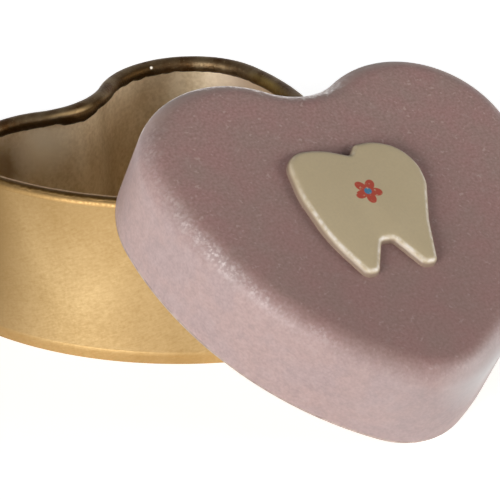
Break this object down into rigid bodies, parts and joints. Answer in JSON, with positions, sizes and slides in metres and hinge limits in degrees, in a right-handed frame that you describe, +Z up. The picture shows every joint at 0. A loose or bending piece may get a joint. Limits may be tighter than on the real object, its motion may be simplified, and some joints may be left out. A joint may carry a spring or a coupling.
{
  "type": "baby tooth box",
  "caption": "Small heart-shaped metal keepsake tin with a rolled rim and a loose skirted lid that leans open against it and carries a raised plain tooth emblem.",
  "frame": {"origin": "on the surface that the tin stands on, under the middle of the tin, halfway between the centres of its two lobes", "axes": "+Z up, +Y towards the heart's notch, -Y towards its tip and the leaning lid, +X to the right seen from the tip"},
  "size_m": [0.0638, 0.0965, 0.0441],
  "materials": {
    "gold_lacquer": "satin gold lacquer on tinplate",
    "bronze_metal": "dark bronze, rolled",
    "bare_inside": "matte, unlacquered",
    "pink_paint": "satin, finely speckled",
    "bare_edge": "bright raw edge",
    "cream_enamel": "satin enamel"
  },
  "bodies": {
    "tin": {"tin_wall": "gold_lacquer", "rim_curl": "bronze_metal", "foot_seam": "gold_lacquer", "base_plate": "bare_inside", "side_seam": "gold_lacquer"},
    "lid": {"lid_shell": "pink_paint", "lid_hem": "bare_edge", "tooth_emblem": "cream_enamel"}
  },
  "joints": [
    {"name": "lid_lift", "type": "slide", "parent": "tin", "child": "lid", "axis": [0, 0, 1], "range_m": [0, 0.06]}
  ]
}
